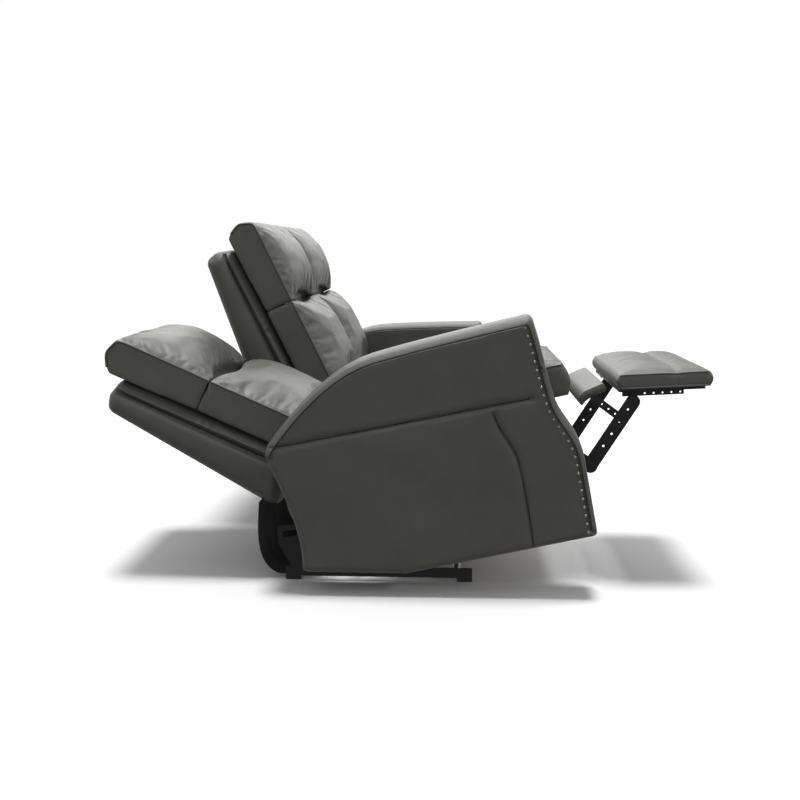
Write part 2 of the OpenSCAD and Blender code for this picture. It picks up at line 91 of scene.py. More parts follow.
def jointMotion(name):
    j = joints[name]
    ends = j.get("range_m") or [math.radians(v) for v in j["range_deg"]]
    value = max(ends, key=abs)                    # the limit away from rest
    if j["type"] == "slide":
        return Matrix.Translation(Vector(j["axis"]) * value)
    at = Vector(j["pos_m"])
    return Matrix.Translation(at) @ Matrix.Rotation(value, 4, Vector(j["axis"])) @ Matrix.Translation(-at)

def restFrom(*names):                             # takes a piece from the joints' other limit to rest
    m = Matrix.Identity(4)
    for n in names:
        m = m @ jointMotion(n)
    return m.inverted()

seatPitch = -joints["near_tilt"]["pos_m"][0]
nearSeat = restFrom("near_glide", "near_tilt")
nearBack = restFrom("near_glide", "near_tilt", "near_recline")
nearToe = restFrom("near_glide", "near_tilt", "near_legrest_swing", "near_long_link_swing",
    "near_footrest_turn")
toNear = Matrix.Translation((-seatPitch, 0, 0))
toFar = Matrix.Translation((seatPitch, 0, 0))
mirrorX = Matrix.Diagonal((-1, 1, 1, 1))

# ---- materials ----

def newGroup(name, inputs, outputs):
    g = bpy.data.node_groups.new(name, "ShaderNodeTree")
    for label, value in inputs:
        sock = g.interface.new_socket(label, in_out="INPUT", socket_type="NodeSocketFloat")
        sock.default_value = value
    for label, kind in outputs:
        g.interface.new_socket(label, in_out="OUTPUT", socket_type=kind)
    return g, g.nodes.new("NodeGroupInput"), g.nodes.new("NodeGroupOutput")

def addNode(tree, kind, links=(), **settings):
    n = tree.nodes.new(kind)
    for key, value in settings.items():
        if hasattr(n, key):
            setattr(n, key, value)
        else:
            n.inputs[key.replace("_", " ")].default_value = value
    for source, target in links:
        tree.links.new(source, n.inputs[target])
    return n

# leather grain: fine pebbles, soft creases and slow tonal drift, from object coordinates in metres
def makeLeatherGroup():
    g, gin, gout = newGroup("leatherGrain",
        [("Pebble Scale", 420), ("Crease Scale", 26), ("Crease Depth", 0.5), ("Tone Drift", 0.2)],
        [("Tone", "NodeSocketFloat"), ("Gloss", "NodeSocketFloat"), ("Height", "NodeSocketFloat")])
    at = addNode(g, "ShaderNodeTexCoord").outputs["Object"]
    warp = addNode(g, "ShaderNodeTexNoise", [(at, "Vector")], Scale=60.0, Detail=3.0)
    shift = addNode(g, "ShaderNodeVectorMath", [(warp.outputs["Color"], 0)], operation="SCALE")
    shift.inputs["Scale"].default_value = 0.004
    mixed = addNode(g, "ShaderNodeVectorMath", [(at, 0), (shift.outputs[0], 1)], operation="ADD")
    pebble = addNode(g, "ShaderNodeTexVoronoi",
        [(mixed.outputs[0], "Vector"), (gin.outputs["Pebble Scale"], "Scale")], feature="DISTANCE_TO_EDGE")
    pebbleRamp = addNode(g, "ShaderNodeMapRange", [(pebble.outputs["Distance"], "Value")])
    pebbleRamp.inputs["From Max"].default_value = 0.22
    crease = addNode(g, "ShaderNodeTexNoise", [(at, "Vector"), (gin.outputs["Crease Scale"], "Scale")],
        Detail=5.0, Roughness=0.6, Distortion=0.8)
    creaseRidge = addNode(g, "ShaderNodeMath", [(crease.outputs["Fac"], 0)], operation="SUBTRACT")
    creaseRidge.inputs[1].default_value = 0.5
    creaseFold = addNode(g, "ShaderNodeMath", [(creaseRidge.outputs[0], 0)], operation="ABSOLUTE")
    creaseWeighted = addNode(g, "ShaderNodeMath",
        [(creaseFold.outputs[0], 0), (gin.outputs["Crease Depth"], 1)], operation="MULTIPLY")
    height = addNode(g, "ShaderNodeMath", [(pebbleRamp.outputs[0], 0), (creaseWeighted.outputs[0], 2)],
        operation="MULTIPLY_ADD")
    height.inputs[1].default_value = 0.16
    drift = addNode(g, "ShaderNodeTexNoise", [(at, "Vector")], Scale=5.0, Detail=4.0, Roughness=0.65)
    driftShift = addNode(g, "ShaderNodeMath", [(drift.outputs["Fac"], 0)], operation="SUBTRACT")
    driftShift.inputs[1].default_value = 0.5
    driftScaled = addNode(g, "ShaderNodeMath", [(driftShift.outputs[0], 0), (gin.outputs["Tone Drift"], 1)],
        operation="MULTIPLY")
    pebbleTone = addNode(g, "ShaderNodeMath", [(pebbleRamp.outputs[0], 0), (driftScaled.outputs[0], 2)],
        operation="MULTIPLY_ADD")
    pebbleTone.inputs[1].default_value = 0.12
    toneOut = addNode(g, "ShaderNodeMath", [(pebbleTone.outputs[0], 0)], operation="ADD")
    toneOut.inputs[1].default_value = 0.9
    glossOut = addNode(g, "ShaderNodeMath", [(drift.outputs["Fac"], 0)], operation="MULTIPLY_ADD")
    glossOut.inputs[1].default_value = 0.20
    glossOut.inputs[2].default_value = 0.40
    g.links.new(toneOut.outputs[0], gout.inputs["Tone"])
    g.links.new(glossOut.outputs[0], gout.inputs["Gloss"])
    g.links.new(height.outputs[0], gout.inputs["Height"])
    return g

# mottle for metal, wood and cloth: a tone, a roughness and a height
def makeSurfaceGroup():
    g, gin, gout = newGroup("surfaceMottle",
        [("Grain Scale", 300), ("Stretch", 1), ("Tone Range", 0.2), ("Gloss Low", 0.3), ("Gloss High", 0.5)],
        [("Tone", "NodeSocketFloat"), ("Gloss", "NodeSocketFloat"), ("Height", "NodeSocketFloat")])
    at = addNode(g, "ShaderNodeTexCoord").outputs["Object"]
    apart = addNode(g, "ShaderNodeSeparateXYZ", [(at, 0)])
    long = addNode(g, "ShaderNodeMath", [(apart.outputs["Y"], 0), (gin.outputs["Stretch"], 1)],
        operation="DIVIDE")
    joined = addNode(g, "ShaderNodeCombineXYZ",
        [(apart.outputs["X"], "X"), (long.outputs[0], "Y"), (apart.outputs["Z"], "Z")])
    grain = addNode(g, "ShaderNodeTexNoise",
        [(joined.outputs[0], "Vector"), (gin.outputs["Grain Scale"], "Scale")], Detail=4.0, Roughness=0.6)
    slow = addNode(g, "ShaderNodeTexNoise", [(at, "Vector")], Scale=14.0, Detail=3.0)
    both = addNode(g, "ShaderNodeMath", [(grain.outputs["Fac"], 0), (slow.outputs["Fac"], 1)],
        operation="ADD")
    centred = addNode(g, "ShaderNodeMath", [(both.outputs[0], 0)], operation="SUBTRACT")
    centred.inputs[1].default_value = 1.0
    tone = addNode(g, "ShaderNodeMath", [(centred.outputs[0], 0), (gin.outputs["Tone Range"], 1)],
        operation="MULTIPLY_ADD")
    tone.inputs[2].default_value = 1.0
    gloss = addNode(g, "ShaderNodeMapRange", [(slow.outputs["Fac"], "Value"),
        (gin.outputs["Gloss Low"], "To Min"), (gin.outputs["Gloss High"], "To Max")])
    gloss.inputs["From Min"].default_value = 0.3
    gloss.inputs["From Max"].default_value = 0.7
    g.links.new(tone.outputs[0], gout.inputs["Tone"])
    g.links.new(gloss.outputs[0], gout.inputs["Gloss"])
    g.links.new(grain.outputs["Fac"], gout.inputs["Height"])
    return g

leatherGroup = makeLeatherGroup()
surfaceGroup = makeSurfaceGroup()

def finishMaterial(name, color, group, groupValues, bump, bumpDistance, **shader):
    m = bpy.data.materials.new(name)
    m.use_nodes = True
    t = m.node_tree
    bsdf = t.nodes["Principled BSDF"]
    for key, value in shader.items():
        bsdf.inputs[key.replace("_", " ")].default_value = value
    g = t.nodes.new("ShaderNodeGroup")
    g.node_tree = group
    for key, value in groupValues.items():
        g.inputs[key].default_value = value
    tint = addNode(t, "ShaderNodeMix", data_type="RGBA", blend_type="MULTIPLY")
    tint.inputs["Factor"].default_value = 1.0
    tint.inputs["A"].default_value = (*color, 1)
    t.links.new(g.outputs["Tone"], tint.inputs["B"])
    t.links.new(tint.outputs["Result"], bsdf.inputs["Base Color"])
    t.links.new(g.outputs["Gloss"], bsdf.inputs["Roughness"])
    b = addNode(t, "ShaderNodeBump", [(g.outputs["Height"], "Height")], Strength=bump, Distance=bumpDistance)
    t.links.new(b.outputs["Normal"], bsdf.inputs["Normal"])
    return m

# painted light: the cushion leather is a lighter copy of the side leather, to brighten the cushions' tops that
# face the overhead light; the sides keep the darker copy
leatherLook = dict(
    side=dict(color=(0.088, 0.087, 0.078), pebble=560, crease=16, depth=0.5, drift=0.55, bump=0.55),
    cushion=dict(color=(0.104, 0.103, 0.091), pebble=400, crease=22, depth=1.0, drift=0.6, bump=0.75),
    # painted shade: the arm's welt is coloured near black, painting the dark shade line along the welt; the
    # welt itself is the same leather
    welt=dict(color=(0.016, 0.016, 0.015), pebble=620, crease=40, depth=0.3, drift=0.2, bump=0.3),
    softWelt=dict(color=(0.085, 0.085, 0.077), pebble=620, crease=40, depth=0.3, drift=0.2, bump=0.3),
)

def makeLeather(name, s):
    return finishMaterial(name, s["color"], leatherGroup,
        {"Pebble Scale": s["pebble"], "Crease Scale": s["crease"], "Crease Depth": s["depth"],
         "Tone Drift": s["drift"]}, s["bump"], 0.0012, Specular_IOR_Level=0.5, Coat_Weight=0.10,
        Coat_Roughness=0.35)

sideLeather = makeLeather("sideLeather", leatherLook["side"])
# painted light: the lighter copy of the leather, for the cushions' lit tops
cushionLeatherLit = makeLeather("cushionLeatherLit", leatherLook["cushion"])
# painted shade: near-black welt leather standing in for the shade line beside the arm's welt
weltShadeLeather = makeLeather("weltShadeLeather", leatherLook["welt"])
softWelt = makeLeather("softWelt", leatherLook["softWelt"])

def makeSurface(name, color, scale, stretch, tone, glossLow, glossHigh, bump, **shader):
    return finishMaterial(name, color, surfaceGroup,
        {"Grain Scale": scale, "Stretch": stretch, "Tone Range": tone, "Gloss Low": glossLow,
         "Gloss High": glossHigh},
        bump, 0.0004, **shader)

blackSteel = makeSurface("blackSteel", (0.008, 0.008, 0.009), 900, 1, 0.5, 0.28, 0.45, 0.25, Metallic=0.0,
    Specular_IOR_Level=0.4)
plywood = makeSurface("plywood", (0.42, 0.27, 0.15), 120, 14, 0.7, 0.5, 0.7, 0.3)
springWire = makeSurface("springWire", (0.5, 0.5, 0.5), 800, 1, 0.3, 0.25, 0.4, 0.1, Metallic=1.0)
nailMetal = makeSurface("nailMetal", (0.30, 0.28, 0.24), 500, 1, 0.8, 0.22, 0.42, 0.2, Metallic=1.0)
switchPlastic = makeSurface("switchPlastic", (0.018, 0.018, 0.02), 1600, 1, 0.3, 0.4, 0.55, 0.3)
buttonMetal = makeSurface("buttonMetal", (0.5, 0.5, 0.51), 900, 20, 0.3, 0.25, 0.4, 0.15, Metallic=1.0)
whitePlastic = makeSurface("whitePlastic", (0.68, 0.68, 0.65), 600, 1, 0.1, 0.35, 0.5, 0.1)
driveSteel = makeSurface("driveSteel", (0.03, 0.03, 0.032), 700, 1, 0.4, 0.3, 0.5, 0.2)
threadLook = makeSurface("threadLook", (0.05, 0.05, 0.047), 2600, 1, 0.5, 0.5, 0.7, 0.5)
dustCloth = makeSurface("dustCloth", (0.006, 0.006, 0.007), 2200, 1, 0.8, 0.8, 0.95, 0.6)

nodeLooks = {
    "base_rails": blackSteel, "base_tubes": blackSteel, "glide_carriage": blackSteel,
    "seat_frame": blackSteel, "rear_links": blackSteel, "long_links": blackSteel,
    "footrest_board": blackSteel, "back_brackets": blackSteel,
    "seat_deck": plywood, "arm_frame": plywood, "base": plywood, "seat_springs": springWire,
    "arm_nails": nailMetal, "switch_plate": switchPlastic,
    "open_button": buttonMetal, "close_button": buttonMetal,
    "drive_block": whitePlastic, "legrest_drive": driveSteel,
}
for nodeName, obj in frame["nodes"].items():
    look = nodeLooks.get(nodeName.split("_", 1)[1])
    obj.data.materials.clear()
    obj.data.materials.append(look or cushionLeatherLit)
print("materials made:", len(bpy.data.materials))

# ---- mesh helpers ----

def clamp(v):
    return max(0.0, min(1.0, v))

def newObject(name, mesh, material):
    obj = bpy.data.objects.new(name, mesh)
    scene.collection.objects.link(obj)
    if material:
        mesh.materials.clear()
        mesh.materials.append(material)
    return obj

def makeActive(obj):
    bpy.ops.object.select_all(action="DESELECT")
    obj.select_set(True)
    bpy.context.view_layer.objects.active = obj

def applyModifiers(obj):
    makeActive(obj)
    for m in list(obj.modifiers):
        bpy.ops.object.modifier_apply(modifier=m.name)

def placedCopy(obj, name, matrix, body):
    mesh = obj.data.copy()
    mesh.transform(matrix)
    if matrix.determinant() < 0:
        mesh.flip_normals()
    copy = newObject(name, mesh, None)
    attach(copy, body)
    return copy

# ---- upholstered slabs: a side outline filled with fine triangles, its seams pressed in ----

def sideOutline(nodeName):                        # the rim of a node's flat side, in order, as (y, z)
    work = bmesh.new()
    work.from_mesh(frame["nodes"][nodeName].data)
    bmesh.ops.remove_doubles(work, verts=work.verts, dist=1e-5)
    edgeX = max(v.co.x for v in work.verts)
    cap = {f for f in work.faces if all(abs(v.co.x - edgeX) < 1e-5 for v in f.verts)}
    nextOf = {}
    for e in work.edges:
        if sum(f in cap for f in e.link_faces) == 1:
            for a, b in (e.verts, reversed(e.verts)):
                nextOf.setdefault(a, []).append(b)
    start = here = min(nextOf, key=lambda v: v.co.y)
    came, loop = None, []
    while True:
        loop.append(Vector((here.co.y, here.co.z)))
        came, here = here, next(v for v in nextOf[here] if v is not came)
        if here is start:
            break
    work.free()
    return loop if signedArea(loop) > 0 else loop[::-1]

def signedArea(loop):
    return sum(a.cross(b) for a, b in zip(loop, loop[1:] + loop[:1])) / 2

def roundCorners(loop, radius, turn):
    out = []
    for i, p in enumerate(loop):
        before, after = loop[i - 1] - p, loop[(i + 1) % len(loop)] - p
        bend = math.pi - before.angle(after)
        if bend < math.radians(turn):
            out.append(p)
            continue
        back = min(radius * math.tan(bend / 2), before.length * 0.45, after.length * 0.45)
        a, b = p + before.normalized() * back, p + after.normalized() * back
        out += [a.lerp(p, t).lerp(p.lerp(b, t), t) for t in (0, 0.25, 0.5, 0.75, 1)]
    return out

def evenLine(line, step, closed=False):           # splits long stretches so that no edge is over step
    ends = list(zip(line, line[1:] + (line[:1] if closed else [])))
    out = []
    for a, b in ends:
        n = max(1, math.ceil((b - a).length / step))
        out += [a.lerp(b, i / n) for i in range(n)]
    return out if closed else out + [line[-1]]

def outward(loop, i):
    along = (loop[(i + 1) % len(loop)] - loop[i - 1]).normalized()
    return Vector((along.y, -along.x))

def insetLoop(loop, d):
    return [p - outward(loop, i) * d for i, p in enumerate(loop)]

def fillSide(loop, seams, step):
    lines = [evenLine(s, step) for s in seams]
    near = [p for s in seams for p in evenLine(s, 0.0015)]
    rim = evenLine(loop, 0.003, True)
    tree = KDTree(len(near) + len(rim))
    for i, p in enumerate(near + rim):
        tree.insert((p.x, p.y, 0), i)
    tree.balance()
    seamTree = KDTree(max(1, len(near)))
    for i, p in enumerate(near or [Vector((99, 99))]):
        seamTree.insert((p.x, p.y, 0), i)
    seamTree.balance()
    points, edges = list(loop), [(i, (i + 1) % len(loop)) for i in range(len(loop))]
    for line in lines:
        base = len(points)
        points += line
        edges += [(base + i, base + i + 1) for i in range(len(line) - 1)]
        for away in (0.0012, 0.0028):
            for i in range(1, len(line) - 1):
                side = (line[i + 1] - line[i - 1]).normalized()
                side = Vector((side.y, -side.x)) * away
                points += [line[i] + side, line[i] - side]
    low = Vector((min(p.x for p in loop), min(p.y for p in loop)))
    high = Vector((max(p.x for p in loop), max(p.y for p in loop)))
    rows, cols = int((high.y - low.y) / step), int((high.x - low.x) / step)
    for r in range(1, rows):
        for c in range(1, cols):
            p = Vector((low.x + (c + 0.5 * (r % 2)) * step, low.y + r * step))
            if tree.find((p.x, p.y, 0))[2] > step * 0.75:
                points.append(p)
    verts, _, faces, *_ = delaunay_2d_cdt(points, edges, [], 1, 1e-6)
    inRim = [tree.find((v.x, v.y, 0))[2] for v in verts]
    toSeam = [seamTree.find((v.x, v.y, 0))[2] for v in verts]
    return verts, faces, inRim, toSeam

# a padded slab between two x places; crown(normal) gives how far its rim stands proud
def slab(name, loop, xOuter, xInner, seams, look, material, crown):
    loop = evenLine(loop, look["step"], True)
    verts, faces, inRim, toSeam = fillSide(loop, seams, look["step"])
    work = bmesh.new()
    out = 1 if xOuter > xInner else -1
    def addFace(points, tris, x, sign, dips):
        made = [work.verts.new((x + sign * dips(i), p.x, p.y)) for i, p in enumerate(points)]
        for t in tris:
            work.faces.new([made[k] for k in t])
        return made
    def outerDip(i):
        p = verts[i]
        rim = clamp(1 - inRim[i] / look["edge"])
        groove = math.exp(-(toSeam[i] / 0.0011) ** 2) * look["groove"]
        puff = look["puff"] * (1 - math.exp(-min(inRim[i], toSeam[i]) / 0.025))
        wave = noise.noise(Vector((p.x * 7, p.y * 7, 3))) * look["wave"] * min(1, inRim[i] / 0.03)
        ruck = noise.noise(Vector((p.x * 60, p.y * 60, 8))) * look["ruck"] * math.exp(-toSeam[i] / 0.018)
        return puff + wave + ruck - groove - look["drop"] * (1 - math.sqrt(1 - rim * rim))
    outer = addFace(verts, faces, xOuter, out, outerDip)
    inner = addFace(verts, faces, xInner, -out, outerDip)
    count = len(loop)
    columns = look["columns"]
    rings = [outer[:count]]
    rimOuter = xOuter - out * look["drop"]
    rimInner = xInner + out * look["drop"]
    for c in range(1, columns):
        t = 0.5 - 0.5 * math.cos(math.pi * c / columns)
        ring = []
        for i, p in enumerate(loop):
            n = outward(loop, i)
            proud = crown(n) * (1 - abs(2 * t - 1) ** look["shoulder"])
            q = p + n * proud
            ring.append(work.verts.new((rimOuter + (rimInner - rimOuter) * t, q.x, q.y)))
        rings.append(ring)
    rings.append(inner[:count])
    for a, b in zip(rings, rings[1:]):
        for i in range(count):
            j = (i + 1) % count
            work.faces.new((a[i], a[j], b[j], b[i]))
    bmesh.ops.recalc_face_normals(work, faces=work.faces)
    mesh = bpy.data.meshes.new(name)
    work.to_mesh(mesh)
    work.free()
    obj = newObject(name, mesh, material)
    makeActive(obj)
    bpy.ops.object.shade_smooth_by_angle(angle=math.radians(50))
    return obj

def tube(name, points, radius, material, closed=False):
    curve = bpy.data.curves.new(name, "CURVE")
    curve.dimensions = "3D"
    curve.bevel_depth = radius
    curve.bevel_resolution = 2
    curve.use_fill_caps = True
    spline = curve.splines.new("POLY")
    spline.points.add(len(points) - 1)
    for sp, p in zip(spline.points, points):
        sp.co = (*p, 1)
    spline.use_cyclic_u = closed
    obj = newObject(name, curve, None)
    makeActive(obj)
    bpy.ops.object.convert(target="MESH")
    obj.data.materials.clear()
    obj.data.materials.append(material)
    bpy.ops.object.shade_smooth()
    return obj

def surfaceLine(obj, points, lift):               # drops a line onto a pad's surface
    work = bmesh.new()
    work.from_mesh(obj.data)
    tree = BVHTree.FromBMesh(work)
    out = []
    for p in points:
        at, normal, *_ = tree.find_nearest(Vector(p))
        out.append(at + normal * lift)
    work.free()
    for _ in range(2):
        out = [out[0]] + [(a + b * 2 + c) / 4 for a, b, c in zip(out, out[1:], out[2:])] + [out[-1]]
    return out

def joinAll(target, others):
    bpy.ops.object.select_all(action="DESELECT")
    for o in [target, *others]:
        o.select_set(True)
    bpy.context.view_layer.objects.active = target
    bpy.ops.object.join()
    return target

# ---- arms ----

armLook = dict(corner=0.016, seamR=0.0010, step=0.009, edge=0.0125, drop=0.010, groove=0.0004, puff=0.0012,
    wave=0.0016, ruck=0.0008, columns=14, shoulder=3.2, weltIn=0.0135, weltR=0.0026, weltOut=0.0008,
    seamDown=0.220, seamStart=0.030, seamRise=0.014, rearIn=0.024, wavyBack=0.114)

def bezier(points, n):
    out = []
    for i in range(n + 1):
        level, t = list(points), i / n
        while len(level) > 1:
            level = [a.lerp(b, t) for a, b in zip(level, level[1:])]
        out.append(level[0])
    return out

def makeArm(s):
    low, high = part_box("far_arm_outer_panel")
    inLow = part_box("far_arm_inner_panel")[0]
    xOuter, xInner = -(high.x - seatPitch), -(inLow.x - seatPitch)
    loop = roundCorners(sideOutline("far_arm_outer_panel"), s["corner"], 40)
    top, foot = high.z, low.z
    inset = insetLoop(evenLine(loop, s["step"], True), s["weltIn"])
    # the welt runs up the front edge, over the top and down to the arm's rearmost point
    rearmost = max(range(len(inset)), key=lambda i: inset[i].x)
    frontFoot = min(range(len(inset)), key=lambda i: inset[i].x + inset[i].y * 0.3)
    ring = [inset[(rearmost + i) % len(inset)] for i in range((frontFoot - rearmost) % len(inset) + 1)]
    welt = [ring[0]]
    for p in ring[1:]:
        if (p - welt[-1]).length > s["step"] * 0.7:
            welt.append(p)
    frontTop = max(inset, key=lambda p: p.y - p.x * 0.5)
    # the level seam, straight back to the rear corner, and the wavy seam behind the front edge
    levelZ = top - s["seamDown"]
    nailY = frontTop.x + s["seamStart"]
    rearCorner = Vector((high.y - s["rearIn"], levelZ + s["seamRise"]))
    level = evenLine([Vector((nailY, levelZ)), rearCorner], s["step"])
    wavyTop = Vector((nailY + s["wavyBack"], levelZ))
    wavy = bezier([wavyTop, wavyTop + Vector((-0.002, -0.09)), wavyTop + Vector((-0.036, -0.10)),
        wavyTop + Vector((-0.042, -0.17))], 12)
    wavy += bezier([wavy[-1], wavy[-1] + Vector((-0.004, -0.06)), Vector((wavy[-1].x + 0.004, foot + 0.10)),
        Vector((wavy[-1].x + 0.008, foot + 0.001))], 16)[1:]
    seams = [welt, level, wavy[1:]]
    arm = slab("armCover", loop, xOuter, xInner, seams, s, sideLeather,
        lambda n: 0.0015 + 0.0085 * max(0, n.y) ** 0.7 + 0.002 * max(0, -n.x))
    sides = []
    lift = s["weltOut"] if xOuter > xInner else -s["weltOut"]
    for x in (xOuter + lift, xInner - lift):
        # the welt tubes carry the painted shade line along the arm's edges
        sides.append(tube("weltTube", [(x, p.x, p.y) for p in welt], s["weltR"], weltShadeLeather))
    for seam in seams[1:]:
        line = surfaceLine(arm, [(xOuter, p.x, p.y) for p in seam], 0.0002)
        sides.append(tube("seamTube", line, s["seamR"], softWelt))
    return joinAll(arm, sides)

armCover = makeArm(armLook)
for side, m in (("near", nearSeat @ toNear), ("far", toFar @ mirrorX)):
    piece = placedCopy(armCover, side + "ArmCover", m, side + "_seat")
    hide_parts(side + "_arm_outer_panel", side + "_arm_inner_panel")
bpy.data.objects.remove(armCover)
print("arms covered")

# ---- back shells ----

shellLook = dict(step=0.012, edge=0.036, drop=0.022, groove=0.0008, puff=0.001, wave=0.002, ruck=0.0005,
    columns=18, shoulder=24, stitchIn=0.046, proud=0.010)

def makeShell(s):
    low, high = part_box("middle_back_shell")
    loop = roundCorners(sideOutline("middle_back_shell"), 0.030, 25)
    # the sitter's side of the outline is its longest stretch, from the foot up the lean
    up = Vector((math.sin(backLean), math.cos(backLean)))
    back = Vector((up.y, -up.x))
    footPoint = min(loop, key=lambda p: p.dot(back) + 0.02 * p.dot(up))
    length = max(p.dot(up) for p in loop) - footPoint.dot(up)
    stitch = [footPoint + back * s["stitchIn"] + up * (0.02 + t * (length - 0.06)) for t in (0, 0.35, 0.7, 1)]
    loop = insetLoop(evenLine(loop, s["step"], True), s["proud"])
    shell = slab("backShell", loop, high.x, low.x, [evenLine(stitch, s["step"])], s, sideLeather,
        lambda n: s["proud"])
    threads = [tube("thread", [(x, p.x, p.y) for p in evenLine(stitch, 0.02)], 0.0007, threadLook)
        for x in (high.x + 0.0008, low.x - 0.0008)]
    return joinAll(shell, threads)

# ---- soft pads: a shaped box, remeshed, then swollen as cloth ----

def boxPad(name, size, cuts):                     # a box cut evenly, from y = 0 back and from z = 0 up
    bpy.ops.object.select_all(action="DESELECT")
    bpy.ops.mesh.primitive_cube_add(size=1, location=(0, size[1] / 2, size[2] / 2))
    obj = bpy.context.object
    obj.name = name
    obj.scale = size
    bpy.ops.object.transform_apply(location=True, rotation=False, scale=True)
    bpy.ops.object.mode_set(mode="EDIT")
    bpy.ops.mesh.select_all(action="SELECT")
    bpy.ops.mesh.subdivide(number_cuts=cuts)
    bpy.ops.object.mode_set(mode="OBJECT")
    return obj

clothFrames = 18

def swell(obj, voxel, pressure, cap, excess, free):
    makeActive(obj)
    remesh = obj.modifiers.new("remesh", "REMESH")
    remesh.mode = "VOXEL"
    remesh.voxel_size = voxel
    even = obj.modifiers.new("even", "SMOOTH")
    even.iterations = 2
    applyModifiers(obj)
    start = [v.co.copy() for v in obj.data.vertices]
    pins = obj.vertex_groups.new(name="pins")
    for v in obj.data.vertices:
        hold = 1 - free(v.co)
        if hold > 0:
            pins.add([v.index], hold, "REPLACE")
    cloth = obj.modifiers.new("cloth", "CLOTH")
    c = cloth.settings
    c.quality = 4
    c.mass = 0.3
    c.use_pressure = True
    c.uniform_pressure_force = pressure
    c.shrink_min = -excess
    c.vertex_group_mass = "pins"
    c.bending_stiffness = 0.8
    c.tension_stiffness = 25
    c.compression_stiffness = 25
    c.effector_weights.gravity = 0
    cloth.collision_settings.use_collision = False
    for f in range(1, clothFrames + 1):
        scene.frame_set(f)
    applyModifiers(obj)
    scene.frame_set(1)
    for v, was in zip(obj.data.vertices, start):
        move = v.co - was
        if move.length > cap:
            v.co = was + move.normalized() * cap
    obj.vertex_groups.clear()
    return obj

def finishPad(obj):
    sub = obj.modifiers.new("sub", "SUBSURF")
    sub.levels = sub.render_levels = 1
    applyModifiers(obj)
    bpy.ops.object.shade_smooth()
    obj.data.materials.clear()
    obj.data.materials.append(cushionLeatherLit)
    return obj

def bulge(u, power):                              # 1 in the middle, 0 at -1 and 1, full-shouldered
    return max(0.0, 1 - abs(u) ** power) ** (1 / 1.7)

def pillow(v, size, s):                           # raises the sitter's face between its welts
    u = v.co.x / size[0] * 2
    d = v.co.z / size[2]
    front = clamp(1 - v.co.y / size[1])
    v.co.y -= s["crown"] * bulge(u, s["across"]) * bulge(2 * d - 1, s["along"]) * front

def ruckle(obj, corners, s):                      # puckers that fan out of the seam's corners, and soft folds
    for v in obj.data.vertices:
        co, n = v.co, v.normal
        face = clamp(-n.y * 2)
        if face == 0:
            continue
        move = s["fold"] * noise.noise(Vector((co.x * 5, co.z * 16, s["seed"])))
        move += s["fold"] * 0.5 * noise.noise(Vector((co.x * 15, co.z * 30, s["seed"] + 5)))
        for cx, cz in corners:
            away = Vector((co.x - cx, co.z - cz))
            r = away.length
            if 0 < r < s["reach"]:
                fan = math.atan2(away.y, away.x)
                wobble = noise.noise(Vector((co.x * 12, co.z * 12, 2))) * 2
                move += s["pucker"] * math.sin(s["rays"] * fan + wobble) * (1 - r / s["reach"]) ** 1.5 \
                    * min(1, r / 0.03)
        co.y -= move * face

def pathPoints(corners, step):
    return evenLine([Vector(c) for c in corners], step)

# the back cushions are shaped in the lean's own frame: X across, -Y to the sitter, Z up the lean
backLook = dict(lean=26, thick=0.092, lumbarLong=0.374, gap=0.003, headLong=0.286, cuts=24, voxel=0.0078,
    lens=0.026, weltR=0.0036, weltLift=0.0016, deep=0.099, tiltKeep=0.90)
lumbarLook = dict(crown=0.046, across=4.0, along=4.5, fold=0.0030, pucker=0.0035, reach=0.16, rays=15, seed=1)
headLook = dict(crown=0.048, across=3.6, along=2.8, fold=0.0032, pucker=0.0032, reach=0.13, rays=13, seed=9)
backLean = math.radians(backLook["lean"])
lumbarLow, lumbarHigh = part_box("middle_lumbar_cushion")
backWidth = lumbarHigh.x - lumbarLow.x - 0.004
footZ = lumbarLow.z + backLook["thick"] * math.sin(backLean)
footY = lumbarHigh.y - 0.372 * math.sin(backLean) - backLook["thick"] * math.cos(backLean)
leanPlace = Matrix.Translation((0, footY, footZ)) @ Matrix.Rotation(-backLean, 4, "X")

def frontFree(co):                                # the sitter's face is free to swell, the sides are held
    return clamp((0.006 - co.y) / 0.012)

def makeLumbar(s, look):
    size = (backWidth, s["deep"], s["lumbarLong"])
    obj = boxPad("lumbarPad", size, s["cuts"])
    for v in obj.data.vertices:
        u, d = v.co.x / size[0] * 2, v.co.z / size[2]
        pillow(v, size, look)
        if v.co.y < 0.03:
            v.co.z -= s["lens"] * 0.6 * max(0, 1 - (u / 0.7) ** 4) * d ** 9
        v.co.z += s["gap"] * clamp(v.co.y / 0.03 - 1) * clamp(d * 10 - 9)
    swell(obj, s["voxel"], 3.5, 0.022, 0.02, frontFree)
    ruckle(obj, [(-size[0] / 2, size[2]), (size[0] / 2, size[2]), (-size[0] / 2, 0.05),
        (size[0] / 2, 0.05)], look)
    finishPad(obj)
    welts = []
    for x in (-size[0] / 2, size[0] / 2):
        path = [(x, -0.001, 0.012), (x, -0.001, size[2] - 0.003)]
        line = surfaceLine(obj, pathPoints(path, 0.008), s["weltLift"])
        welts.append(tube("weltTube", line, s["weltR"], softWelt))
    return joinAll(obj, welts + [makeGusset(s)])

def makeGusset(s):                                # the strip of leather seen through the gap below the head
    obj = boxPad("gusset", (backWidth - 0.05, 0.004, 0.06), 12)
    for v in obj.data.vertices:
        u = v.co.x / backWidth * 2
        v.co.y += 0.030 + 0.008 * (1 - u * u)
        v.co.z += s["lumbarLong"] - 0.03
    return finishPad(obj)

